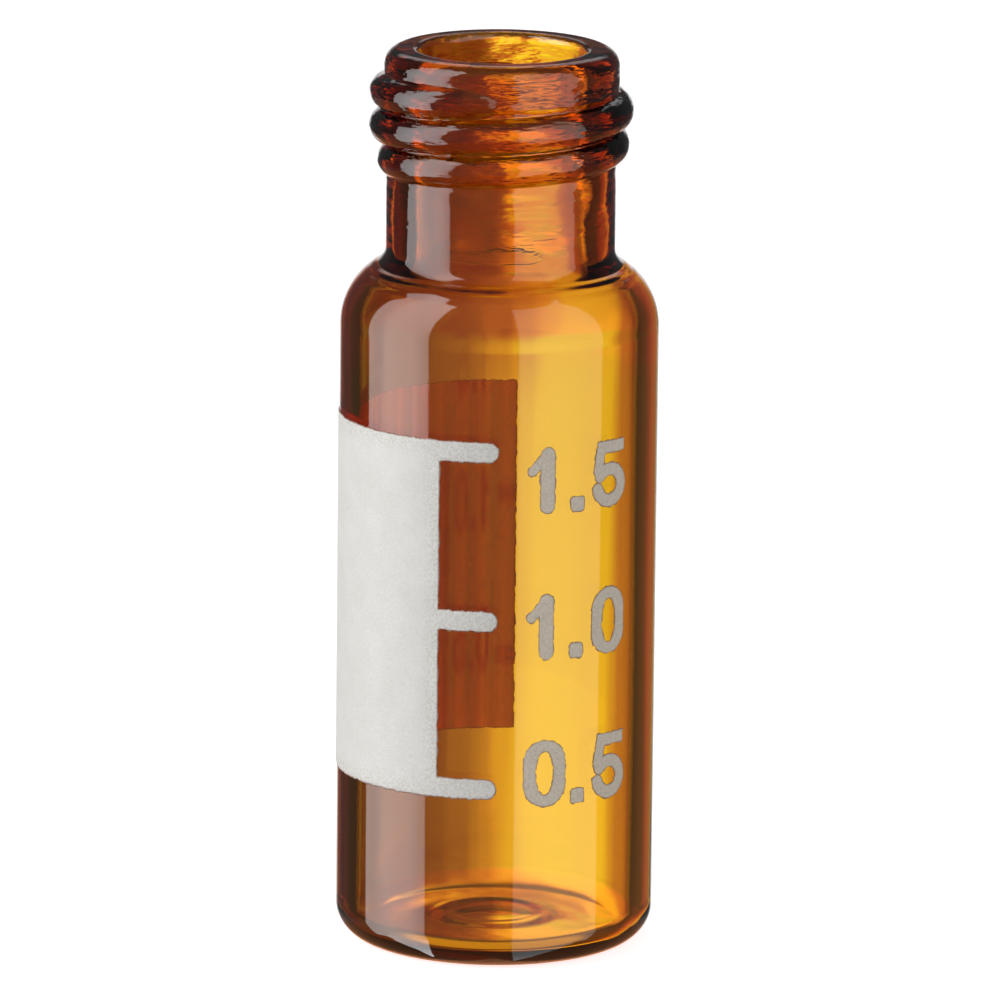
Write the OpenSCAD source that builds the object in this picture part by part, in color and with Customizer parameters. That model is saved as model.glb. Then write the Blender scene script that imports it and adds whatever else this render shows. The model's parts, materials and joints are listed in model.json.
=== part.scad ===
// Screw-neck sample vial, 12 x 32 mm class, formed from one length of amber glass tube,
// with a white enamel writing patch and volume scale fired onto the outside.
// Millimetres. +Z is up, and the origin is on the table under the centre of the base.

/* [Body] */
// Outside diameter of the body
body_d = 11.4; // [10:0.1:13.8]
// Height from the table to the top of the lip
height = 32.5; // [26:0.5:45]
// Thickness of the body wall
wall = 0.72; // [0.5:0.02:0.9]
// Outside rounding between the wall and the foot
heel_r = 1.26; // [0.9:0.02:1.6]
// Outside rounding of the shoulder
shoulder_r = 2.58; // [2:0.02:3.2]

/* [Base] */
// Thickness of the floor above the foot
floor_t = 0.7; // [0.6:0.05:1.2]
// Inside rounding between the wall and the floor
floor_round = 0.65; // [0.5:0.05:1.4]
// Rise of the floor from its edge to its centre
floor_rise = 0.25; // [0.05:0.05:0.4]
// Diameter of the low ring in the middle of the floor, over its crest
ring_d = 3.7; // [2.4:0.1:5]
// Height of that ring above the floor round it
ring_h = 0.06; // [0.02:0.01:0.12]
// Width of that ring
ring_w = 1.2; // [0.6:0.1:1.6]
// Diameter of the hollow under the base
hollow_d = 7; // [5:0.1:7.2]
// Depth of the hollow under the base
hollow_depth = 0.35; // [0.1:0.05:0.5]

/* [Neck and lip] */
// Outside diameter of the neck
neck_d = 8.2; // [7.4:0.05:9]
// Diameter of the bore through the neck
bore_d = 5.9; // [5:0.05:6.4]
// Distance from the top of the lip down to the foot of the neck
neck_h = 7.2; // [6.4:0.1:9]
// Outside rounding where the neck stands on the shoulder
neck_fillet = 0.66; // [0.3:0.02:1]
// Inside rounding where the bore opens into the body
bore_flare = 1.3; // [0.8:0.05:2]
// How far the lip stands out from the neck
lip_out = 0.1; // [0.05:0.05:0.3]
// Rounding of the lip's outer edge
lip_round = 0.6; // [0.3:0.05:0.7]
// Rounding of the mouth's inner edge
mouth_round = 0.3; // [0.1:0.05:0.4]

/* [Thread] */
// Height of the thread's crest above the neck
thread_h = 0.62; // [0.5:0.01:0.64]
// Rise of the thread in one turn
pitch = 1.22; // [1.1:0.02:1.4]
// Radius of the round glass bead that forms the thread
bead_r = 0.65; // [0.5:0.01:0.7]
// Depth of the thread's upper end below the top of the lip
thread_drop = 1.22; // [1.2:0.02:1.6]
// Depth of the lip's side, from the top down to where it steps in to the neck
lip_h = 1.5; // [1.3:0.05:1.8]
// Direction from the axis in which the upper end lies, in degrees from +X
thread_from = 285; // [0:5:355]
// Angle that the thread runs through, ends included, in degrees
thread_sweep = 920; // [600:10:960]
// Angle over which the upper end rises out of the neck
run_in = 55; // [30:5:120]
// Angle over which the lower end sinks back into the neck
run_out = 95; // [30:5:180]
// How far the last full turn has sunk before it runs out
last_sink = 0.3; // [0:0.02:0.4]

/* [Printed scale] */
// Thickness of the fired enamel
enamel_t = 0.04; // [0.02:0.01:0.1]
// Height of the print's lower edge above the table
print_z = 6.36; // [4:0.02:8]
// Distance from the print's upper edge up to the start of the shoulder
print_gap = 3.15; // [1:0.05:5]
// Direction of the patch's far edge, in degrees from +X
patch_from = 82.4; // [60:0.2:120]
// Direction of the patch's near edge, which carries the marks
patch_to = 249; // [200:1:260]
// Thickness of a volume mark
mark_t = 0.75; // [0.4:0.05:1]
// Where the marks end, measured to the right of the front
mark_end = 0.05; // [-0.6:0.05:0.6]
// Number of volume marks
marks = 3; // [2:1:5]

/* [Hidden] */
$fn = 96;

arc_step = 7.5;                      // degrees of arc between profile points
body_r = body_d / 2;
bore_r = bore_d / 2;
neck_r = neck_d / 2;
lip_r = neck_r + lip_out;
thread_r = neck_r + thread_h;
hollow_r = hollow_d / 2;
inner_r = body_r - wall;
neck_wall = neck_r - bore_r;

// Two round stretches that touch carry the outline from the wall to the neck: a shoulder
// of radius a about (r0, z0) and a hollow of radius b about (r1, z0 + touch_rise).
function touch_rise(a, b, r0, r1) = sqrt(pow(a + b, 2) - pow(r1 - r0, 2));

neck_z = height - neck_h;            // foot of the neck, outside
shoulder_z = neck_z - touch_rise(shoulder_r, neck_fillet, body_r - shoulder_r,
                                 neck_r + neck_fillet);
inner_shoulder_r = shoulder_r - wall;
bore_z = shoulder_z + touch_rise(inner_shoulder_r, bore_flare, inner_r - inner_shoulder_r,
                                 bore_r + bore_flare);

// Points of an arc about (r, z), from angle a0 to a1
function arc(r, z, radius, a0, a1) =
    let (n = max(2, ceil(abs(a1 - a0) / arc_step)))
    [for (i = [0 : n]) let (a = a0 + (a1 - a0) * i / n) [r + radius * cos(a), z + radius * sin(a)]];

// Outline from a straight wall over the shoulder to the neck, bottom to top
function shoulder_line(a, b, r0, r1, z0) =
    let (rise = touch_rise(a, b, r0, r1), turn = atan2(rise, r1 - r0))
    concat(arc(r0, z0, a, 0, turn), arc(r1, z0 + rise, b, turn + 180, 180));

// Smooth rise that is 1 at 0 and falls to nothing at 1
function swell(s) = (1 + cos(180 * min(1, abs(s)))) / 2;

// Under the base, from the top of the hollow to the foot
hollow_steps = 8;
hollow_line = [for (i = [0 : hollow_steps])
    let (s = i / hollow_steps) [hollow_r * s, hollow_depth * swell(s)]];

// The floor inside, with the low ring that its forming leaves, from its centre to its edge
floor_steps = 18;
floor_edge_r = inner_r - floor_round;
floor_line = [for (i = [0 : floor_steps])
    let (s = i / floor_steps, r = floor_edge_r * s, from_ring = (r - ring_d / 2) / (ring_w / 2))
        [r, floor_t + floor_rise * swell(s) + ring_h * swell(from_ring)]];

// The same outline without points that repeat the one before
function without_repeats(list) =
    [for (i = [0 : len(list) - 1]) if (i == 0 || norm(list[i] - list[max(0, i - 1)]) > 0.001) list[i]];

function reversed(list) = [for (i = [len(list) - 1 : -1 : 0]) list[i]];

// Between ring_low and ring_high the outside of the neck is the threaded ring. The lathe
// form stops short there, at seat_r, so that the ring replaces the glass it would have had.
seat_margin = 0.05;                  // plain glass left above and below the thread
seat_depth = neck_wall * 0.4;
ring_high = height - lip_round - seat_margin;
ring_low = height - thread_drop - pitch * thread_sweep / 360 - bead_r - seat_margin;
seat_r = neck_r - seat_depth;

outside_line = concat(
    hollow_line,
    arc(body_r - heel_r, heel_r, heel_r, -90, 0),
    shoulder_line(shoulder_r, neck_fillet, body_r - shoulder_r, neck_r + neck_fillet, shoulder_z),
    [[neck_r, ring_low], [seat_r, ring_low], [seat_r, ring_high], [lip_r, ring_high]],
    arc(lip_r - lip_round, height - lip_round, lip_round, 0, 90)
);

inside_line = concat(
    floor_line,
    arc(floor_edge_r, floor_t + floor_round, floor_round, -90, 0),
    shoulder_line(inner_shoulder_r, bore_flare, inner_r - inner_shoulder_r,
                  bore_r + bore_flare, shoulder_z),
    arc(bore_r + mouth_round, height - mouth_round, mouth_round, 180, 90)
);

// The thread is a round bead wound down a right-hand helix, sunk into the neck at both ends
bead_center_r = thread_r - bead_r;
sink_margin = 0.05;                  // how far past the neck's surface the ends sink
bead_buried = thread_h + sink_margin;

function ease(s) = (1 - cos(180 * min(1, max(0, s)))) / 2;

// How far the crest has sunk below its full radius, at angle t from the upper end
function sunk(t) =
    let (full_end = thread_sweep - run_out)
    t < run_in ? bead_buried * (1 - ease(t / run_in))
    : t < full_end ? last_sink * max(0, 1 - (full_end - t) / 360)
    : last_sink + (bead_buried - last_sink) * ease((t - full_end) / run_out);

// Radius that the bead reaches at height z, where it has run through angle t: none, past its side
function bead_reach(t, z) =
    let (off = z - (height - thread_drop - pitch * t / 360))
    t < 0 || t > thread_sweep || abs(off) > bead_r ? 0
    : bead_center_r - sunk(t) + sqrt(bead_r * bead_r - off * off);

// Radius of the neck and lip without the thread: the lip steps in to the neck on a short slope
lip_step = 0.15;
function plain_radius(z) =
    let (s = (height - lip_h - z) / lip_step)
    lip_r + (neck_r - lip_r) * min(1, max(0, s));

// Radius of the threaded ring in direction a at height z: the furthest out of all its turns
function ring_radius(a, z) =
    let (first = (thread_from - a) % 360, turns = ceil(thread_sweep / 360))
    max(plain_radius(z), max([for (k = [-1 : turns]) bead_reach(first + 360 * k, z)]));

ring_sides = 72;
ring_levels = 32;
ring_inset = 0.01;                   // keeps the ring's end faces inside the lathe form's
ring_overlap = 0.2;                  // how far the ring's back lies inside the lathe form
ring_back_r = seat_r - ring_overlap;

module threaded_ring() {
    ends = [ring_low, ring_high];
    outer = [for (i = [0 : ring_levels]) let (z = ends[0] + (ends[1] - ends[0]) * i / ring_levels)
        for (j = [0 : ring_sides - 1]) let (a = 360 * j / ring_sides, r = ring_radius(a, z) - ring_inset)
            [r * cos(a), r * sin(a), z]];
    back = [for (z = ends, j = [0 : ring_sides - 1]) let (a = 360 * j / ring_sides)
        [ring_back_r * cos(a), ring_back_r * sin(a), z]];
    // Each loop is the first point of one level, and strips join one loop to the next
    loops = [for (i = [0 : ring_levels]) i * ring_sides];
    back_low = (ring_levels + 1) * ring_sides;
    round_trip = concat(loops, [back_low + ring_sides, back_low, loops[0]]);
    skin = [for (i = [0 : len(round_trip) - 2], j = [0 : ring_sides - 1])
        let (k = (j + 1) % ring_sides, a = round_trip[i], b = round_trip[i + 1])
        each [[a + j, b + j, b + k], [a + j, b + k, a + k]]];
    polyhedron(concat(outer, back), skin);
}

module glass_vial() {
    color("#a85c14", 0.75) union() {
        rotate_extrude() polygon(without_repeats(concat(outside_line, reversed(inside_line))));
        threaded_ring();
    }
}

print_top = shoulder_z - print_gap;
mark_pitch = (print_top - print_z - mark_t) / (marks - 1);

// A bar seen from the front, reaching back under the patch and round at its free end
module mark_bar() {
    polygon(concat([[-body_r, 0]], arc(mark_end - mark_t / 2, mark_t / 2, mark_t / 2, -90, 90),
                   [[-body_r, mark_t]]));
}

// What is left bare beside the patch, seen from the front: all but the marks
module bare_gaps() {
    patch_edge = body_r * cos(patch_to);
    difference() {
        translate([patch_edge, print_z - 1]) square([body_r / 2, print_top - print_z + 2]);
        for (i = [0 : marks - 1]) translate([0, print_z + i * mark_pitch]) mark_bar();
    }
}

module marking_print() {
    marks_to = 270 + asin((mark_end + mark_t) / body_r);
    color("#e4e6e0") difference() {
        rotate_extrude(angle = marks_to - patch_from, start = patch_from)
            translate([body_r, print_z]) square([enamel_t, print_top - print_z]);
        rotate([90, 0, 0]) linear_extrude(body_r + 1) bare_gaps();
    }
}

glass_vial();
marking_print();
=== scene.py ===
"""Screw-neck sample vial of amber glass, with a fired enamel writing patch and volume scale.

The glass is one closed skin, turned outside and inside, with its rolled thread. The enamel lies
on it in thin pieces: the patch with its three marks, and the three numbers of the scale.
Sizes are millimetres here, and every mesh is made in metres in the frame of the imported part.
"""

import json
import math

import bpy
import numpy as np
from mathutils import Euler, Matrix, Vector, noise


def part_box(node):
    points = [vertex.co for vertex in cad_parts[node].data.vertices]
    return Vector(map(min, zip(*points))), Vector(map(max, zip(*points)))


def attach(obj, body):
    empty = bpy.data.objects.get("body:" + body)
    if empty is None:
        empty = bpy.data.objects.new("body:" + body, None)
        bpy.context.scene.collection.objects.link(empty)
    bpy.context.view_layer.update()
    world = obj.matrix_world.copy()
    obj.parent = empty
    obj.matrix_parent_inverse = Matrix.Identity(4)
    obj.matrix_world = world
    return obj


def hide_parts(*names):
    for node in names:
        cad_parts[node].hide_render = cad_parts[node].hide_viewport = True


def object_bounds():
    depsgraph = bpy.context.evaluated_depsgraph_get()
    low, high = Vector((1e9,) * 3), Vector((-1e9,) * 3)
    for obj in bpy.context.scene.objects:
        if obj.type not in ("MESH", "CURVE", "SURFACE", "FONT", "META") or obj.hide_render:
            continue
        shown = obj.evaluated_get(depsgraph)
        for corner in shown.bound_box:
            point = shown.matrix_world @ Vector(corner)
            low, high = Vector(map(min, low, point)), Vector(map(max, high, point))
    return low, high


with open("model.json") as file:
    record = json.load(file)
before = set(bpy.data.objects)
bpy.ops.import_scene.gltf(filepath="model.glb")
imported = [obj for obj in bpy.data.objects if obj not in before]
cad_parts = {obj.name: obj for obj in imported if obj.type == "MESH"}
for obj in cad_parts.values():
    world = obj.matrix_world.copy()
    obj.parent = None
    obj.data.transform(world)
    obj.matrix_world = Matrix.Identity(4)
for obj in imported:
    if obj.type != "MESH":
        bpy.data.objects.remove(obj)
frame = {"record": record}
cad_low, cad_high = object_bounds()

MM = 0.001
mounts = {m["name"]: m for m in frame["record"]["mounts"]}
print_low, print_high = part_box("marking_print")

# ---------------------------------------------------------------- sizes of the glass

body_r = mounts["body"]["dims"]["r_mm"]
bore_r = mounts["mouth"]["dims"]["r_mm"]
height = cad_high.z / MM

wall = 0.72
inner_r = body_r - wall
heel_r = 1.26
shoulder_r = 2.58
inner_shoulder_r = shoulder_r - wall

# The floor inside: its thickness, the round at its edge and how far its middle is pushed up
floor_t = 0.7
floor_round = 0.65
floor_rise = 0.25

# The low ring that forming leaves on the floor
ring_r = 1.85
ring_h = 0.06
ring_half = 0.6

# The hollow under the base
hollow_r = 3.5
hollow_depth = 0.35

neck_r = 4.1
neck_h = 7.2
neck_fillet = 0.66
bore_flare = 1.3
lip_r = 4.2
lip_h = 1.5
lip_step = 0.15
lip_round = 0.6
mouth_round = 0.3

# Where the thread's rows end below the lip's round, and the angle at which that round starts
lip_seam = 0.02
lip_start = 2

# The thread, a round bead wound down from below the lip. Its angles are degrees along it
thread_r = 4.72
pitch = 1.22
bead_r = 0.65
thread_drop = 1.22
thread_from = 285.0
thread_sweep = 920.0
run_in = 55.0
run_out = 95.0
bead_bury = 0.05
last_sink = 0.3

# Where the thread's rows start below its lowest turn
thread_margin = 0.05

# Waves that forming leaves in the neck: reach, how often they change round it and up it, seed
OUTER_WAVES = ((0.03, 2.2, 0.9, 3.0), (0.016, 4.0, 3.2, 11.0), (0.004, 3.0, 9.0, 23.0))
INNER_WAVES = ((0.05, 2.0, 0.8, 83.0), (0.05, 2.0, 1.6, 89.0), (0.015, 3.0, 5.0, 97.0))

# Where the waves start below the neck's foot, are full above it, and end below the rim
waves_from = 1.2
waves_full = 0.6
waves_end = 0.5

# Grooves that the neck's rollers left round the shoulder: radius, half width, depth
GROOVES = ((4.42, 0.16, 0.016), (4.74, 0.15, 0.018), (5.04, 0.15, 0.01))

# How unevenly the grooves are cut, as a share of their depth, in the columns of the waves
GROOVE_STRAY = ((1.4, 1.6, 0, 61.0),)

# How finely the skin is divided: counts, rows in millimetres and arcs in degrees
glass_sides = 240
thread_rows = 136
floor_rows = 45
hollow_rows = 17
wall_row = 2.0
bore_row = 0.5
arc_step = 4.0
shoulder_step = 1.4

# ---------------------------------------------------------------- sizes of the enamel

print_bottom = print_low.z / MM
print_top = print_high.z / MM
enamel_out_r = -print_low.x / MM
enamel_gap = 0.003

# The patch: its sides in degrees from straight in front, and its marks
patch_left = -187.6
patch_right = -21.0
patch_corner = 0.05
patch_seed = 1
mark_t = 0.75
mark_end = 0.05
mark_root = 1.0

# The numbers: their size and places up the wall, and round it from straight in front
NUMBERS = ("0.5", "1.0", "1.5")
number_h = 2.43
number_step = 5.33
number_z = 12.62
number_start = 1.8
number_margin = 1.0
number_thinner = 0.01
number_seed = 20

# How the screened outline strays: reach, how often it changes in a millimetre, seed
RAGGED_EDGE = ((0.05, 5, 0), (0.045, 16, 9))

# Sides of the cells that the enamel is cut into, and how far their grid goes past it
patch_cell_u = 0.09
patch_cell_v = 0.075
mark_cell = 0.045
number_cell = 0.04
spare = 0.2
mark_spare = 0.3

# How high the enamel's edge is, as a share of its thickness
rim_share = 0.45


# ---------------------------------------------------------------- outline of the glass


def arc(r, z, radius, start, end, step=arc_step):
    """Points of an arc about (r, z), from one angle to another in degrees."""
    count = max(2, math.ceil(abs(end - start) / step))
    angles = np.radians(np.linspace(start, end, count + 1))
    return [(r + radius * math.cos(a), z + radius * math.sin(a)) for a in angles]


def touch_rise(a, b, r0, r1):
    """Height between the centres of two arcs that touch, of radius a at r0 and b at r1."""
    return math.sqrt((a + b) ** 2 - (r1 - r0) ** 2)


def shoulder_line(a, b, r0, r1, z0, step):
    """From a straight wall over the shoulder to the neck."""
    rise = touch_rise(a, b, r0, r1)
    turn = math.degrees(math.atan2(rise, r1 - r0))
    return arc(r0, z0, a, 0, turn, step) + arc(r1, z0 + rise, b, turn + 180, 180, step * 2)[1:]


def hump(s):
    """A smooth hump: 1 at 0, and nothing from 1 outwards on both sides."""
    return (1 + math.cos(math.pi * min(1, abs(s)))) / 2


def eased(x, low, high):
    """0 at low and 1 at high, eased between them and held past them."""
    s = min(1, max(0, (x - low) / (high - low)))
    return s * s * (3 - 2 * s)


def upright(r, low, high, step):
    """Points up a straight wall, both ends left out."""
    count = max(2, round((high - low) / step))
    return [(r, z) for z in np.linspace(low, high, count + 1)[1:-1]]


neck_z = height - neck_h
shoulder_z = neck_z - touch_rise(shoulder_r, neck_fillet, body_r - shoulder_r, neck_r + neck_fillet)
bore_z = shoulder_z + touch_rise(inner_shoulder_r, bore_flare, inner_r - inner_shoulder_r,
                                 bore_r + bore_flare)
thread_low = height - thread_drop - pitch * thread_sweep / 360 - bead_r - thread_margin
thread_high = height - lip_round - lip_seam


def hollow_line():
    """Under the base, from its centre to the foot."""
    return [(r, hollow_depth * hump(r / hollow_r)) for r in np.linspace(0, hollow_r, hollow_rows)]


def floor_line():
    """The floor inside, from its centre to the round at its edge."""
    edge = inner_r - floor_round
    return [(r, floor_t + floor_rise * hump(r / edge) + ring_h * hump((r - ring_r) / ring_half))
            for r in np.linspace(0, edge, floor_rows)]


def body_line():
    """The outside, from under the base to the foot of the neck."""
    return (
        hollow_line()[1:]
        + arc(body_r - heel_r, heel_r, heel_r, -90, 0)
        + upright(body_r, heel_r, shoulder_z, wall_row)
        + shoulder_line(shoulder_r, neck_fillet, body_r - shoulder_r, neck_r + neck_fillet,
                        shoulder_z, shoulder_step)
    )


def neck_line():
    """Neck and lip. The rows that the thread can reach have no radius of their own."""
    thread = [(None, z) for z in np.linspace(thread_low, thread_high, thread_rows)]
    return thread + arc(lip_r - lip_round, height - lip_round, lip_round, lip_start, 90)


def inside_line():
    """The inside, from the floor to the mouth."""
    return (
        floor_line()[1:]
        + arc(inner_r - floor_round, floor_t + floor_round, floor_round, -90, 0)[1:]
        + upright(inner_r, floor_t + floor_round, shoulder_z, wall_row)
        + shoulder_line(inner_shoulder_r, bore_flare, inner_r - inner_shoulder_r,
                        bore_r + bore_flare, shoulder_z, arc_step)
        + upright(bore_r, bore_z, height - mouth_round, bore_row)
        + arc(bore_r + mouth_round, height - mouth_round, mouth_round, 180, 90)
    )


# ---------------------------------------------------------------- thread and waves


def half_wave(s):
    """0 at 0 and 1 at 1, along half a cosine, and held past them."""
    return (1 - np.cos(np.pi * np.clip(s, 0, 1))) / 2


def sunk(t):
    """How far the thread's crest has sunk below its full radius, at angle t from its upper end."""
    buried = thread_r - neck_r + bead_bury
    full_end = thread_sweep - run_out
    last_turn = last_sink * np.clip(1 - (full_end - t) / 360, 0, None)
    rising = buried * (1 - half_wave(t / run_in))
    sinking = last_sink + (buried - last_sink) * half_wave((t - full_end) / run_out)
    return np.where(t < run_in, rising, np.where(t < full_end, last_turn, sinking))


def bead_reach(t, z):
    """Radius that the thread's round bead reaches at height z, or none past its side."""
    off = z - (height - thread_drop - pitch * t / 360)
    inside = (t >= 0) & (t <= thread_sweep) & (np.abs(off) <= bead_r)
    side = np.sqrt(np.clip(bead_r**2 - off**2, 0, None))
    return np.where(inside, thread_r - bead_r - sunk(t) + side, 0)


def threaded_radius(angles, z):
    """Radius of the neck and lip with the thread, in each direction at one height."""
    first = np.mod(thread_from - angles, 360)
    step = np.clip((height - lip_h - z) / lip_step, 0, 1)
    reach = np.full(len(angles), lip_r + (neck_r - lip_r) * step)
    for turn in range(-1, math.ceil(thread_sweep / 360) + 1):
        reach = np.maximum(reach, bead_reach(first + 360 * turn, z))
    return reach


def unevenness(turns, z, layers):
    """How far forming left the glass out of true, in each direction at one height.

    Each layer is a reach, how often it changes round the neck and up it, and a seed.
    """
    strays = np.zeros(len(turns))
    for reach, round_neck, up_neck, seed in layers:
        level = up_neck * z + seed
        round_it = np.stack([np.cos(turns), np.sin(turns)], axis=1) * round_neck
        strays += [reach * noise.noise(Vector((x, y, level))) for x, y in round_it]
    return strays


def glass_ring(angles, r, z, waves, grooved):
    """One ring of points round the glass, with the waves and grooves that it has at its height."""
    turns = np.radians(angles)
    radii = threaded_radius(angles, z) if r is None else np.full(len(angles), r)
    heights = np.full(len(angles), z)
    formed = eased(z, neck_z - waves_from, neck_z + waves_full) * eased(z, height, height - waves_end)
    if formed > 0:
        radii = radii + formed * unevenness(turns, z, waves)
    if grooved and z > shoulder_z:
        cut = sum(depth * hump((r - middle) / half) for middle, half, depth in GROOVES)
        heights -= cut * (1 + unevenness(turns, 0, GROOVE_STRAY))
    return np.stack([radii * np.cos(turns), radii * np.sin(turns), heights], axis=1)


def glass_rings():
    """Rings of points from under the base, up the outside, over the lip and down to the floor."""
    angles = np.arange(glass_sides) * 360 / glass_sides
    stretches = (
        (body_line(), OUTER_WAVES, True),
        (neck_line(), OUTER_WAVES, False),
        (inside_line()[::-1], INNER_WAVES, False),
    )
    return [glass_ring(angles, r, z, waves, grooved)
            for line, waves, grooved in stretches
            for r, z in line]


# ---------------------------------------------------------------- meshes


def mesh_object(name, points, faces, material):
    """A smooth-shaded mesh of points in millimetres."""
    mesh = bpy.data.meshes.new(name)
    mesh.from_pydata((np.asarray(points) * MM).tolist(), [], faces)
    mesh.polygons.foreach_set("use_smooth", [True] * len(mesh.polygons))
    mesh.materials.append(material)
    mesh.update()
    piece = bpy.data.objects.new(name, mesh)
    bpy.context.scene.collection.objects.link(piece)
    return piece


def turned_skin(name, rings, first, last, material):
    """Closes a stack of rings into one skin, with a centre point at each end."""
    sides = len(rings[0])
    points = np.concatenate(rings + [[first], [last]])
    corner = np.arange(sides)
    after = (corner + 1) % sides
    faces = []
    for row in range(len(rings) - 1):
        a, b = row * sides, (row + 1) * sides
        faces += np.stack([a + corner, a + after, b + after, b + corner], axis=1).tolist()
    start, end = len(points) - 2, len(points) - 1
    top = (len(rings) - 1) * sides
    faces += np.stack([np.full(sides, start), after, corner], axis=1).tolist()
    faces += np.stack([np.full(sides, end), top + corner, top + after], axis=1).tolist()
    return mesh_object(name, points, faces, material)


# ---------------------------------------------------------------- figures of the scale

# Each gives the depth inside its strokes, in the print's own plane: u runs to the right round
# the vial and v up, from the figure's middle


def bar(u, v, start, end, half):
    """Depth inside a stroke with round ends."""
    (u0, v0), (u1, v1) = start, end
    du, dv = u1 - u0, v1 - v0
    along = np.clip(((u - u0) * du + (v - v0) * dv) / (du * du + dv * dv), 0, 1)
    return half - np.hypot(u - u0 - along * du, v - v0 - along * dv)


def panel(u, v, low, high, corner):
    """Depth inside a rectangle with rounded corners."""
    mid_u, mid_v = (low[0] + high[0]) / 2, (low[1] + high[1]) / 2
    past_u = np.abs(u - mid_u) - (high[0] - low[0]) / 2 + corner
    past_v = np.abs(v - mid_v) - (high[1] - low[1]) / 2 + corner
    outside = np.hypot(np.maximum(past_u, 0), np.maximum(past_v, 0))
    return corner - outside - np.minimum(np.maximum(past_u, past_v), 0)


def bowl(u, v, centre, radius, start, end, half):
    """Depth inside a stroke along an arc, from one angle on to another in degrees."""
    cu, cv = centre
    turn = np.mod(np.degrees(np.arctan2(v - cv, u - cu)) - start, 360)
    on_arc = half - np.abs(np.hypot(u - cu, v - cv) - radius)
    ends = [half - np.hypot(u - cu - radius * math.cos(a), v - cv - radius * math.sin(a))
            for a in (math.radians(start), math.radians(end))]
    return np.where(turn <= end - start, on_arc, np.maximum(*ends))


def outside_oval(u, v, half_u, half_v):
    """About the distance outside an oval round the middle, and less than 0 inside it."""
    across = np.hypot(u / half_u, v / half_v)
    tiny = 1e-9
    return across * (across - 1) / np.hypot(u / half_u**2, v / half_v**2 + tiny)


def figure_zero(u, v):
    solid = bar(u, v, (0, -0.43), (0, 0.43), 0.8)
    return np.minimum(solid, outside_oval(u, v, 0.31, 0.78))


def figure_one(u, v):
    stem = bar(u, v, (0, -0.93), (0, 0.93), 0.285)
    flag = bar(u, v, (-0.04, 0.92), (-0.56, 0.35), 0.19)
    return np.maximum(stem, flag)


def figure_five(u, v):
    top = panel(u, v, (-0.62, 0.74), (0.72, 1.22), 0.08)
    stem = bar(u, v, (-0.42, 0.95), (-0.56, 0.14), 0.22)
    curve = bowl(u, v, (-0.02, -0.4), 0.57, 193, 503, 0.25)
    return np.maximum(np.maximum(top, stem), curve)


def figure_point(u, v):
    return panel(u, v, (-0.3, -1.22), (0.3, -0.64), 0.16)


# What draws each figure, and how far the next one's middle is from its own
FIGURES = {"0": figure_zero, "1": figure_one, "5": figure_five, ".": figure_point}
ADVANCE = {"0": 1.28, "1": 1.16, "5": 1.43, ".": 1.43}


# ---------------------------------------------------------------- printed enamel


def ragged(u, v, seed):
    """How far the screened outline strays at each point of the print's plane."""
    strays = np.zeros(len(u))
    for reach, rate, later in RAGGED_EDGE:
        strays += [reach * noise.noise(Vector((a * rate, b * rate, seed + later)))
                   for a, b in zip(u, v)]
    return strays


def onto_outline(depth, u, v, seed):
    """Moves points onto the stray outline of depth(u, v), by a few steps down its slope."""
    off = ragged(u, v, seed)
    nudge, least_slope, steps = 0.01, 0.25, 3
    for _ in range(steps):
        here = depth(u, v) + off
        slope_u = (depth(u + nudge, v) - depth(u - nudge, v)) / (2 * nudge)
        slope_v = (depth(u, v + nudge) - depth(u, v - nudge)) / (2 * nudge)
        steep = np.maximum(slope_u**2 + slope_v**2, least_slope)
        u, v = u - here * slope_u / steep, v - here * slope_v / steep
    return u, v


def wrapped(u, v, radius):
    """Places in the print's plane, wrapped round the body at a radius."""
    turn = u / body_r
    return np.stack([radius * np.sin(turn), -radius * np.cos(turn), v], axis=1)


def enamel_piece(name, depth, us, vs, out_r, seed, material):
    """A thin printed layer wrapped round the body, where depth(u, v) is above 0.

    Cells of the grid whose middle is inside are kept, and their outer corners are drawn
    onto the outline. The skin is closed, and thinner towards its edge. The attribute inset
    says how far inside the outline each point lies.
    """
    grid_u, grid_v = np.meshgrid(us, vs, indexing="ij")
    mid_u, mid_v = np.meshgrid((us[1:] + us[:-1]) / 2, (vs[1:] + vs[:-1]) / 2, indexing="ij")
    kept = depth(mid_u, mid_v) > 0
    around = np.pad(kept, 1)
    corners = [around[i:i + len(us), j:j + len(vs)] for i in (0, 1) for j in (0, 1)]
    used = np.any(corners, axis=0)
    on_rim = ~np.all(corners, axis=0)[used]

    flat_u, flat_v = grid_u[used], grid_v[used]
    flat_u[on_rim], flat_v[on_rim] = onto_outline(depth, flat_u[on_rim], flat_v[on_rim], seed)
    inset = np.where(on_rim, 0, depth(flat_u, flat_v))

    in_r = body_r + enamel_gap
    outer = np.where(on_rim, in_r + (out_r - in_r) * rim_share, out_r)
    points = np.concatenate([wrapped(flat_u, flat_v, outer), wrapped(flat_u, flat_v, in_r)])

    count = len(flat_u)
    index = np.full(used.shape, -1)
    index[used] = np.arange(count)
    i, j = np.nonzero(kept)
    quads = np.stack([index[i, j], index[i + 1, j], index[i + 1, j + 1], index[i, j + 1]], axis=1)
    edges = np.concatenate([quads[:, [k, (k + 1) % 4]] for k in range(4)])
    pairs = {tuple(e) for e in edges.tolist()}
    walls = [(a, a + count, b + count, b) for a, b in pairs if (b, a) not in pairs]
    faces = quads.tolist() + (quads[:, ::-1] + count).tolist() + walls

    piece = mesh_object(name, points, faces, material)
    kept_inset = piece.data.attributes.new("inset", "FLOAT", "POINT")
    kept_inset.data.foreach_set("value", np.concatenate([inset, inset]))
    return piece


# ---------------------------------------------------------------- shader maths


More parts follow.
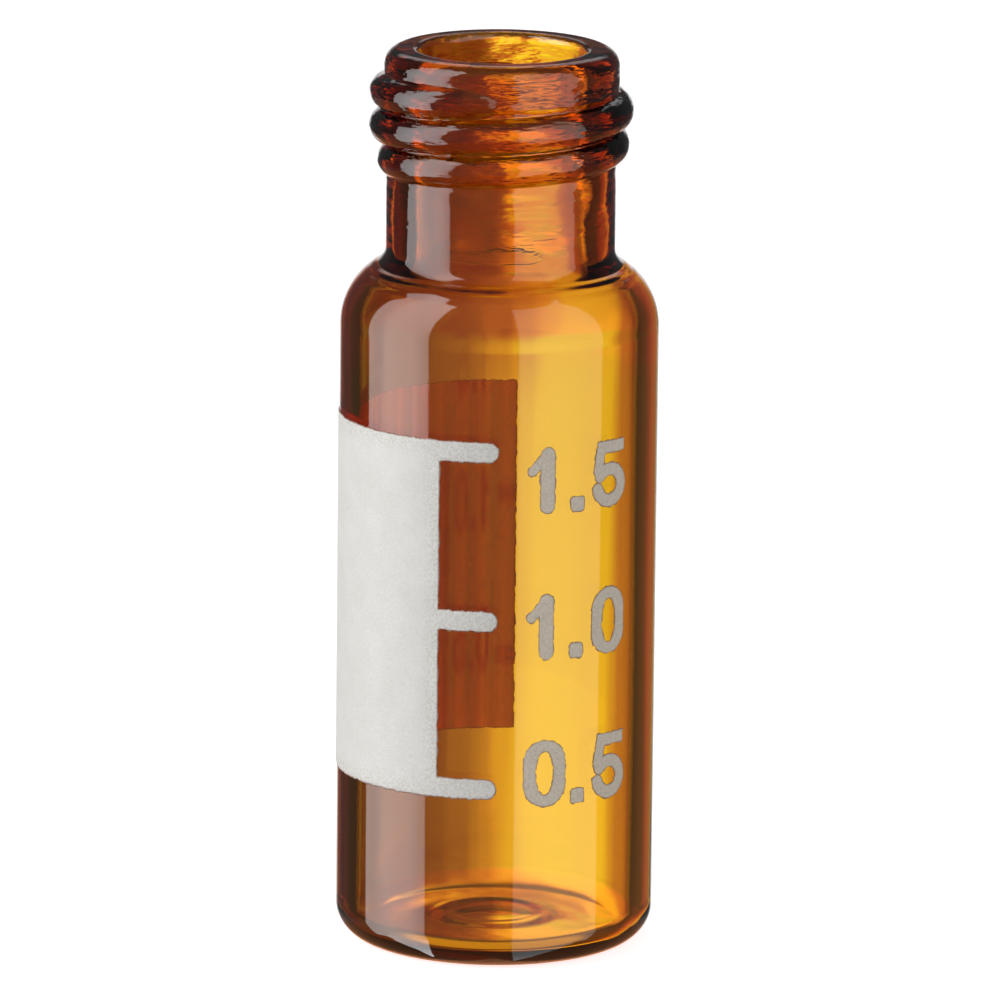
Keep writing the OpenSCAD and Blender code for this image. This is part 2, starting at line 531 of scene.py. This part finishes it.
class Wire:
    """A socket of a node tree. Arithmetic on it adds Math nodes."""

    def __init__(self, shader, node, socket):
        self.shader = shader
        self.node = node
        self.socket = socket

    def out(self, name):
        """Another output of the same node."""
        return Wire(self.shader, self.node, self.node.outputs[name])

    def math(self, operation, *values):
        return self.shader.node("Math", {"operation": operation}, dict(enumerate(values)))

    def __add__(self, other):
        return self.math("ADD", self, other)

    def __sub__(self, other):
        return self.math("SUBTRACT", self, other)

    def __rsub__(self, other):
        return self.math("SUBTRACT", other, self)

    def __mul__(self, other):
        return self.math("MULTIPLY", self, other)

    __radd__ = __add__
    __rmul__ = __mul__

    def most(self, other):
        return self.math("MAXIMUM", self, other)

    def between(self, low, high):
        """0 below low and 1 above high, eased between them, or the reverse if low is above."""
        settings = {"interpolation_type": "SMOOTHSTEP"}
        return self.shader.node("MapRange", settings, {0: self, 1: low, 2: high})


class Shader:
    """A node tree, written from its first nodes on to its output."""

    def __init__(self, owner):
        owner.use_nodes = True
        self.tree = owner.node_tree
        self.tree.nodes.clear()

    def node(self, kind, settings=None, inputs=None, output=0):
        """Adds a node: its settings are made first, then the values or wires of its sockets."""
        made = self.tree.nodes.new("ShaderNode" + kind)
        for name, value in (settings or {}).items():
            if name == "stops":
                set_stops(made.color_ramp, value)
            else:
                setattr(made, name, value)
        for name, value in (inputs or {}).items():
            if isinstance(value, Wire):
                self.tree.links.new(value.socket, made.inputs[name])
            else:
                made.inputs[name].default_value = value
        return Wire(self, made, made.outputs[output] if len(made.outputs) else None)

    def blend(self, factor, low, high):
        """Mixes two colours."""
        settings = {"data_type": "RGBA"}
        return self.node("Mix", settings, {0: factor, 6: low, 7: high}, 2)

    def scaled(self, colour, factor):
        """A colour made brighter or darker."""
        return self.node("VectorMath", {"operation": "SCALE"}, {0: colour, "Scale": factor})

    def grain(self, place, lumps, detail):
        """Noise with its own number of lumps to the metre along each axis."""
        stretched = self.node("Mapping", inputs={0: place, 3: lumps})
        return self.node("TexNoise", inputs={"Vector": stretched, "Scale": 1.0, "Detail": detail})

    def radius(self, place):
        """Distance from the vial's axis, in millimetres."""
        flat = self.node("VectorMath", {"operation": "MULTIPLY"}, {0: place, 1: (1 / MM, 1 / MM, 0)})
        return self.node("VectorMath", {"operation": "LENGTH"}, {0: flat}, "Value")


def set_stops(ramp, stops):
    """Gives a colour ramp its stops, each a place from 0 to 1 and a colour."""
    ramp.elements.remove(ramp.elements[1])
    ramp.elements[0].position = stops[0][0]
    ramp.elements[0].color = stops[0][1]
    for place, colour in stops[1:]:
        ramp.elements.new(place).color = colour


def grey(value):
    return (value, value, value, 1)


WHITE = grey(1)

# ---------------------------------------------------------------- materials

# Amber glass: light loses the more of a colour the further that colour is below 1
AMBER = (0.923, 0.74, 0.03, 1)
amber_density = 2800.0

# Fired enamel: the print's own tone, a darker and warmer tone with painted light for the numbers, its
# grains of dirt, a painted dark shade along its edge, and its side on the glass
PATCH_TONE = (0.8, 0.795, 0.765)
# The numbers' tone is the patch's enamel made darker and warmer: painted amber light that shines
# through the thin numbers from behind
NUMBER_TONE_PAINTED_BACKLIGHT = (0.755, 0.68, 0.585)
SPECK = (0.4, 0.36, 0.3, 1)
# Painted shade: a dark line along the print's edge, for the shadow and reflection that the edge throws
# in the glass
PAINTED_EDGE_SHADE = (0.3, 0.17, 0.13, 1)
UNDERSIDE = (1, 0.95, 0.9, 1)

glass_ior = 1.5


def amber_glass():
    """Brown soda glass: clear skin, with its colour from the depth of glass that light crosses."""
    material = bpy.data.materials.new("amber_glass")
    shader = Shader(material)
    place = shader.node("TexCoord", output="Object")
    streaks = shader.grain(place, (700, 700, 60), detail=1.0)
    tool_marks = shader.grain(place, (900, 900, 4500), detail=2.0)

    # Tool marks are faint all over the neck, and strong on the outside of its upper turns
    up = shader.node("SeparateXYZ", inputs={0: place}).out("Z") * (1 / MM)
    outside = shader.radius(place).between(neck_r - 0.6, neck_r - 0.2)
    last_turn, full_turn, rim_fade = neck_z + 2.8, neck_z + 4.2, 0.8
    on_neck = up.between(neck_z, neck_z + 1)
    on_thread = outside * up.between(last_turn, full_turn) * up.between(height, height - rim_fade)
    relief = streaks * 0.25 + tool_marks * (on_neck * 0.4 + on_thread * 1.6)
    bump = shader.node("Bump", inputs={"Height": relief, "Strength": 0.2, "Distance": 0.0002})
    surface = shader.node("BsdfPrincipled", inputs={
        "Base Color": WHITE,
        "Roughness": 0.0,
        "IOR": glass_ior,
        "Transmission Weight": 1.0,
        "Normal": bump,
    })
    depth = shader.node("VolumeAbsorption", inputs={"Color": AMBER, "Density": amber_density})
    shader.node("OutputMaterial", inputs={"Surface": surface, "Volume": depth})
    return material


def toned(tone, share):
    """A tone as a colour, with its parts taken to one share or to a share each."""
    return (*(np.array(tone) * share).tolist(), 1)


def fired_enamel(name, tone):
    """White glass frit, screened on and fired: matt, with a fine grain and small pits, and a painted
    dark shade along its edge.
    """
    material = bpy.data.materials.new(name)
    shader = Shader(material)
    place = shader.node("TexCoord", output="Object")
    grain = shader.grain(place, (12000, 12000, 12000), detail=4.0)
    clouds = shader.grain(place, (900, 900, 900), detail=3.0)
    streaks = shader.grain(place, (2400, 2400, 30), detail=1.0)
    pits = shader.node("TexVoronoi", inputs={"Vector": place, "Scale": 2600.0})
    inset = shader.node("Attribute", {"attribute_name": "inset"}, output="Fac")

    shade = clouds.between(0.3, 0.75) * 0.5 + grain.between(0.3, 0.8) * 0.5
    plain = shader.blend(shade, toned(tone, (0.9, 0.9, 0.89)), toned(tone, 1))
    specks = grain.between(0.56, 0.4) * (0.03 + inset.between(0.8, 0.1) * 0.24)
    top = shader.blend(specks, plain, SPECK)
    under = shader.blend(streaks.between(0.35, 0.75), toned(tone, 0.85), UNDERSIDE)
    face = body_r + enamel_gap
    on_glass = shader.radius(place).between(face + 0.009, face + 0.002)
    # Painted shade at the rim: the outline is darkened, for the shadow and reflection of the edge in
    # the glass
    colour = shader.blend(inset.between(0.0, 0.06), PAINTED_EDGE_SHADE, shader.blend(on_glass, top, under))

    relief = grain * 0.6 + pits.between(0.0, 0.35) * 0.4
    bump = shader.node("Bump", inputs={"Height": relief, "Strength": 0.6, "Distance": 0.00005})
    surface = shader.node("BsdfPrincipled", inputs={
        "Base Color": colour,
        "Roughness": 0.55,
        "IOR": glass_ior,
        "Normal": bump,
    })
    shader.node("OutputMaterial", inputs={"Surface": surface})
    return material


# ---------------------------------------------------------------- pieces of the vial


def make_glass():
    under, floor = (0, 0, hollow_depth), (0, 0, floor_t + floor_rise)
    vial = turned_skin("vial_glass", glass_rings(), under, floor, amber_glass())
    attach(vial, "root")
    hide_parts("glass_vial")


def make_patch():
    """The writing patch and its three marks, in one piece."""
    half = mark_t / 2
    mark_zs = np.linspace(print_bottom + half, print_top - half, 3)
    left, right = (math.radians(a) * body_r for a in (patch_left, patch_right))
    low, high = print_bottom - spare, print_top + spare

    def depth(u, v):
        inside = panel(u, v, (left, print_bottom), (right, print_top), patch_corner)
        for z in mark_zs:
            inside = np.maximum(inside, bar(u, v, (right - mark_root, z), (mark_end - half, z), half))
        return inside

    finer_from = right - mark_spare
    us = np.concatenate([
        np.arange(left - spare, finer_from, patch_cell_u),
        np.arange(finer_from, mark_spare, mark_cell),
    ])
    vs = np.arange(low, high, patch_cell_v)
    enamel = fired_enamel("patch_enamel", PATCH_TONE)
    patch = enamel_piece("writing_patch", depth, us, vs, enamel_out_r, patch_seed, enamel)
    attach(patch, "root")
    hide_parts("marking_print")


def make_numbers():
    """The three numbers of the scale, each in one piece."""
    # The numbers get a darker, warmer copy of the enamel: painted amber light shining through them
    # from behind
    enamel = fired_enamel("number_enamel", NUMBER_TONE_PAINTED_BACKLIGHT)
    out_r = enamel_out_r - number_thinner
    for row, number in enumerate(NUMBERS):
        centre_z = number_z + (row - 1) * number_step
        middles = []
        end = number_start
        for figure in number:
            middles.append(end)
            end += ADVANCE[figure]

        def depth(u, v):
            return np.max([FIGURES[f](u - m, v - centre_z) for f, m in zip(number, middles)], axis=0)

        reach = number_h / 2 + spare
        us = np.arange(number_start - number_margin, end, number_cell)
        vs = np.arange(centre_z - reach, centre_z + reach, number_cell)
        name = "number_" + number.replace(".", "_")
        piece = enamel_piece(name, depth, us, vs, out_r, number_seed + row, enamel)
        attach(piece, "root")


# ---------------------------------------------------------------- table and lamps

TABLE_WHITE = grey(0.8)
table_side = 6000.0

# Where a studio box lights the table beside the heel: directions from straight in front, in
# degrees, and distances from the axis
LEFT_PAPER = ((-24.7, 5.2), (-33.4, 5.7), (-48.4, 6.4), (-53, 6.8), (-46, 7.1), (-36, 7.2), (-30, 7.2))
RIGHT_PAPER = ((8.5, 5.2), (20.4, 5.67), (32.9, 6.28), (42, 7.0), (28, 7.2), (9, 7.2), (7.7, 6.25))
paper_drop = 0.01


def white_table():
    """Plain white, lit where the lamps reach it, so that only the vial's shadow shows on it."""
    material = bpy.data.materials.new("white_table")
    shader = Shader(material)
    seen = shader.node("LightPath", output="Is Camera Ray")
    matt = shader.node("BsdfDiffuse", inputs={"Color": TABLE_WHITE})
    glow = shader.node("Emission", inputs={"Color": shader.blend(seen, grey(0), TABLE_WHITE)})
    surface = shader.node("AddShader", inputs={0: matt, 1: glow})
    shader.node("OutputMaterial", inputs={"Surface": surface})
    return material


def make_table():
    half = table_side / 2
    corners = [(-half, -half, 0), (half, -half, 0), (half, half, 0), (-half, half, 0)]
    table = mesh_object("table", corners, [(0, 1, 2, 3)], white_table())
    table.visible_glossy = False
    table.visible_transmission = False


def make_lit_paper(name, outline, radiance):
    """A bright patch of the table, which only the glass mirrors."""
    material = bpy.data.materials.new(name)
    shader = Shader(material)
    glow = shader.node("Emission", inputs={"Color": WHITE, "Strength": radiance})
    shader.node("OutputMaterial", inputs={"Surface": glow})
    corners = [(r * math.sin(math.radians(a)), -r * math.cos(math.radians(a)), -paper_drop)
               for a, r in outline]
    paper = mesh_object(name, corners, [tuple(range(len(corners)))], material)
    paper.visible_camera = False
    paper.visible_diffuse = False
    paper.visible_shadow = False
    paper.visible_transmission = False


def make_lamp(name, azimuth, elevation, size, distance, radiance):
    """A soft lamp that lights the enamel and the table, with its size and distance in metres."""
    lamp = bpy.data.lights.new(name, "AREA")
    lamp.size = size
    lamp.energy = math.pi * radiance * size * size
    holder = bpy.data.objects.new(name, lamp)
    turn, rise = math.radians(azimuth), math.radians(elevation)
    out = Vector((math.sin(turn) * math.cos(rise), -math.cos(turn) * math.cos(rise), math.sin(rise)))
    holder.location = out * distance
    holder.rotation_euler = out.to_track_quat("Z", "Y").to_euler()
    holder.visible_camera = False
    holder.visible_glossy = False
    holder.visible_transmission = False
    bpy.context.scene.collection.objects.link(holder)


# ---------------------------------------------------------------- studio round the vial

# Lit cards: from one side to the other, round the vial from straight behind it, then from below
# to above, from level, and how soft their edges are, all in degrees
LEFT_BOX = (-128, -72, -35, 62, 0.8)
RIGHT_BOX = (100, 166, -35, 62, 0.8)
SWEEP = (-15, 15, -90, 4, 5)
TOP_BOX = (-22, 22, 22, 50, 4)

RIGHT_TINT = (1, 0.95, 0.84, 1)
AMBER_FLOOR = (1, 0.42, 0.2, 1)

# What stands behind the vial, from left to right in degrees from straight behind it
BACKDROP = (
    (-66, WHITE),
    (-57, grey(0.05)),
    (-36, grey(0.05)),
    (-27, (0.12, 0.065, 0.08, 1)),
    (-19, (0.08, 0.03, 0.05, 1)),
    (-10, (0.13, 0.05, 0.07, 1)),
    (-3.2, (0.21, 0.085, 0.08, 1)),
    (-1.3, (0.38, 0.22, 0.15, 1)),
    (-0.3, (0.54, 0.38, 0.2, 1)),
    (0.6, (0.76, 0.7, 0.3, 1)),
    (1.6, (0.79, 1, 0.4, 1)),
    (8.5, (0.76, 0.96, 0.4, 1)),
    (12.5, (0.46, 0.33, 0.5, 1)),
    (24, (0.29, 0.135, 0.35, 1)),
    (31, grey(0.1)),
    (52, grey(0.05)),
    (62, WHITE),
)

# The backdrop's tone off its middle, the dark past it, and the table far below
OUTER_TONE = (1.22, 0.9, 1.6, 1)
DARK = (0.15, 0.11, 0.1, 1)
FAR_BELOW = (0.8, 0.72, 0.5, 1)

# How far the backdrop's upper part stands to the right, how bright it all is, what its lower
# part has more on the right, and less everywhere
upper_shift = 1.7
backdrop_light = 1.26
low_right_more = 0.92
low_less = 0.2

# Light that reaches the underside of the enamel through the glass, and what matt faces get
ENAMEL_FILL = (2.25, 0.75, 3.0, 1)
ROOM_FILL = grey(0.3)

# How bright the cards, the room and the table are, where 1 is white
dim_light = 0.09
front_light = 0.16
floor_light = 0.35
sweep_light = 0.9
top_light = 0.9
right_light = 1.7
left_light = 2.9
left_light_step = 1.6


def lit_card(azimuth, rise, left, right, low, high, soft):
    """1 in the directions of a card, eased to 0 past its sides."""
    width = azimuth.between(left - soft, left + soft) * azimuth.between(right + soft, right - soft)
    return width * rise.between(low - soft, low + soft) * rise.between(high + soft, high - soft)


def mirrored_studio(shader, azimuth, rise, ahead, left_box, right_box):
    """What the glass mirrors: cards, a dim room, and the table under light that the glass tints."""
    room_in_front = ahead.between(0.4, -0.5)
    floor = rise.between(-14, -27) * (1 - left_box) * (1 - right_box)
    brighter = azimuth.between(-76, -96)
    darker = azimuth.between(-115, -130) * rise.between(30, 5)
    shine = (
        dim_light
        + room_in_front * front_light
        + floor * floor_light
        + lit_card(azimuth, rise, *SWEEP) * sweep_light
        + lit_card(azimuth, rise, *TOP_BOX) * top_light
        + left_box * (left_light + (brighter - darker) * left_light_step)
        + right_box * right_light
    )
    tint = shader.blend(floor, shader.blend(right_box, WHITE, RIGHT_TINT), AMBER_FLOOR)
    return shader.scaled(tint, shine)


def studio_behind(shader, azimuth, rise, boxes):
    """What is seen through the glass: the backdrop, dark above and below it, and the boxes."""
    across = azimuth - rise.between(-12.6, -10.6) * upper_shift
    stops = [(0.5 + degrees / 360, colour) for degrees, colour in BACKDROP]
    backdrop = shader.node("ValToRGB", {"stops": stops}, {0: across * (1 / 360) + 0.5})
    off_middle = rise.between(-11.8, -10.8).most(rise.between(-15, -16.5))
    coloured = shader.node("VectorMath", {"operation": "MULTIPLY"}, {
        0: backdrop,
        1: shader.blend(off_middle, WHITE, OUTER_TONE),
    })
    low_change = azimuth.between(-2, 2) * low_right_more - low_less
    brightness = backdrop_light + rise.between(-8, -18) * low_change
    steep = shader.blend(rise.between(-46, -58), DARK, FAR_BELOW)
    near_level = rise.between(-35, -21) * rise.between(30, 15)
    around = shader.blend(near_level, steep, shader.scaled(coloured, brightness))
    return shader.blend(boxes, around, WHITE)


def make_world():
    """White wherever the camera looks past the vial, and a lit studio in what the glass shows."""
    world = bpy.data.worlds.new("studio")
    bpy.context.scene.world = world
    shader = Shader(world)
    path = shader.node("LightPath")
    way = shader.node("SeparateXYZ", inputs={0: shader.node("TexCoord", output="Generated")})
    azimuth = way.math("ARCTAN2", way.out("X"), way.out("Y")) * (180 / math.pi)
    rise = way.math("ARCSINE", way.out("Z")) * (180 / math.pi)
    left_box = lit_card(azimuth, rise, *LEFT_BOX)
    right_box = lit_card(azimuth, rise, *RIGHT_BOX)

    mirrored = mirrored_studio(shader, azimuth, rise, way.out("Y"), left_box, right_box)
    behind = studio_behind(shader, azimuth, rise, left_box + right_box)
    outward = shader.blend(path.out("Is Glossy Ray"), ROOM_FILL, mirrored)
    inward = shader.blend(path.out("Diffuse Depth").between(0, 1), behind, ENAMEL_FILL)
    passed = shader.blend(path.out("Is Transmission Ray"), outward, inward)
    seen = shader.blend(path.out("Is Camera Ray"), passed, WHITE)
    light = shader.node("Background", inputs={"Color": seen, "Strength": 1.0})
    shader.node("OutputWorld", inputs={"Surface": light})


# ---------------------------------------------------------------- camera

camera_rise = 12.57
camera_distance = 420.0
camera_tilt = 0.6
camera_lens = 421.9
camera_aim = (0.083, 0, 16.02)


def make_camera():
    """A long lens in front of the vial, a little above level and slightly tilted."""
    camera = bpy.data.cameras.new("camera")
    camera.sensor_width = 36
    camera.lens = camera_lens
    camera.clip_start, camera.clip_end = 0.05, 20
    holder = bpy.data.objects.new("camera", camera)
    rise = math.radians(camera_rise)
    back = Vector((0, -math.cos(rise), math.sin(rise)))
    holder.location = (Vector(camera_aim) + back * camera_distance) * MM
    level = Euler((math.radians(90 - camera_rise), 0, 0)).to_matrix().to_4x4()
    tilt = Matrix.Rotation(math.radians(camera_tilt), 4, "Z")
    holder.rotation_euler = (level @ tilt).to_euler()
    bpy.context.scene.collection.objects.link(holder)
    bpy.context.scene.camera = holder


make_camera()
make_glass()
make_patch()
make_numbers()
make_table()
make_lit_paper("left_paper", LEFT_PAPER, radiance=5.2)
make_lit_paper("right_paper", RIGHT_PAPER, radiance=1.5)
make_lamp("key_lamp", azimuth=-75, elevation=25, size=0.4, distance=0.45, radiance=2.85)
make_lamp("fill_lamp", azimuth=50, elevation=25, size=0.4, distance=0.5, radiance=1.0)
make_world()
bpy.context.scene.view_settings.view_transform = "Standard"
